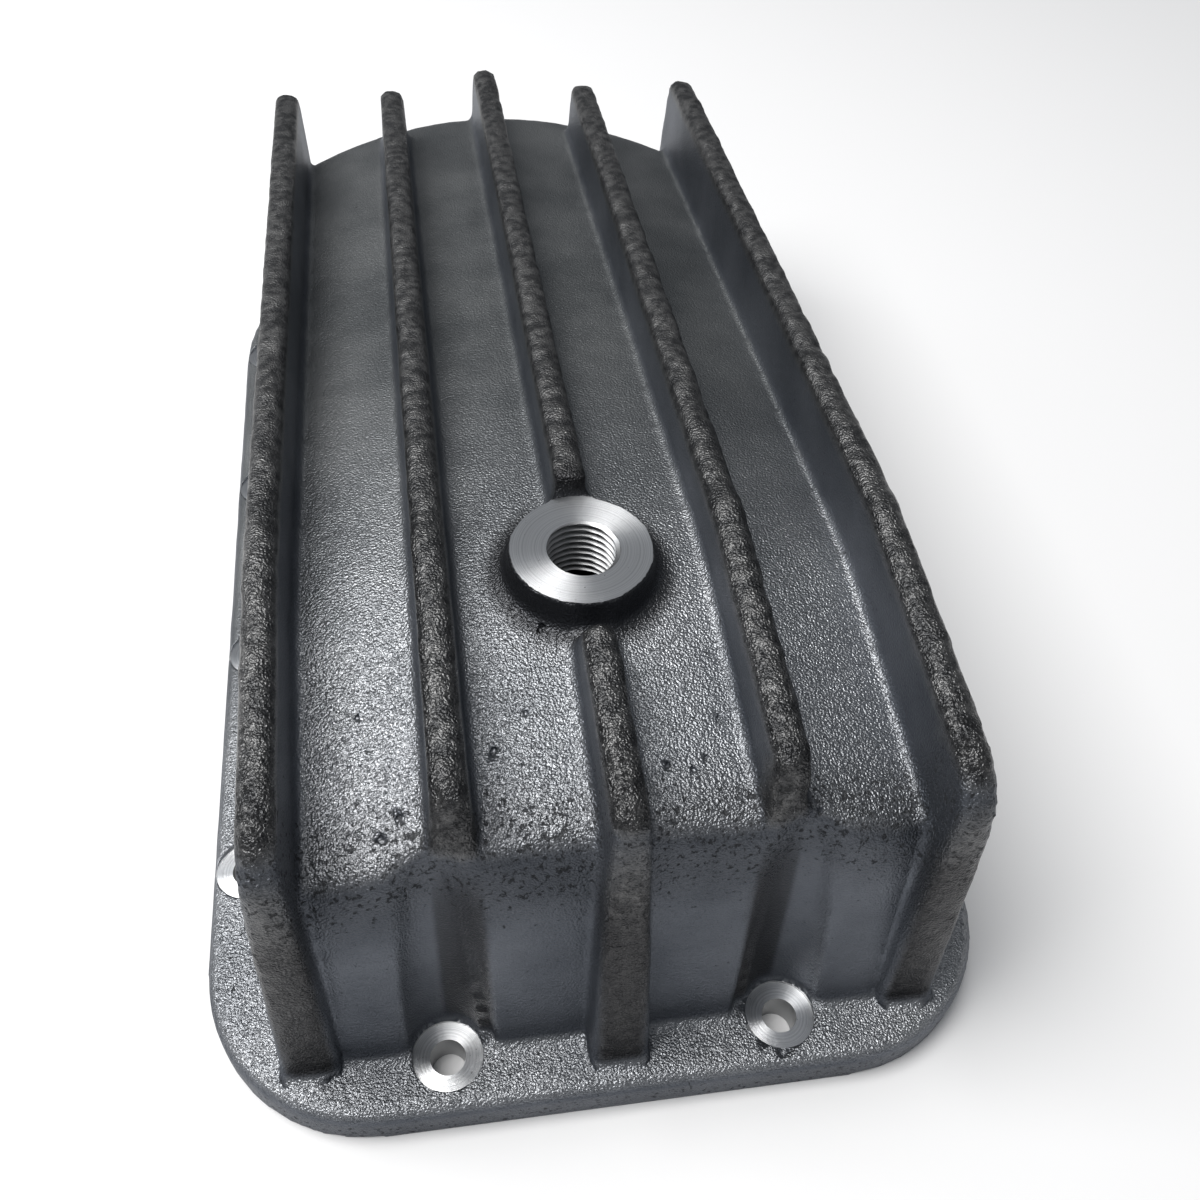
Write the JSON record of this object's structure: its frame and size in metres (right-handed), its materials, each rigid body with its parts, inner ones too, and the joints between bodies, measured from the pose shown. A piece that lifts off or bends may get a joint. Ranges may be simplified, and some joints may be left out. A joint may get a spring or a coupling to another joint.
{
  "type": "oil pan",
  "caption": "Finned cast aluminium oil pan with an arched end, a drafted crowned floor, scalloped end walls and a threaded drain boss.",
  "frame": {"origin": "centre of the gasket face's outline, in the plane of the gasket face", "axes": "+Z out of the gasket face towards the cooling fins, +Y along the pan from the drain end to the arched end, +X across to the right"},
  "size_m": [0.15, 0.288, 0.0784],
  "materials": {
    "cast_aluminium": "sand cast, dark grey and grainy, with bright machined drain face and spot faces"
  },
  "bodies": {
    "root": {"oil_pan": "cast_aluminium"}
  },
  "joints": []
}
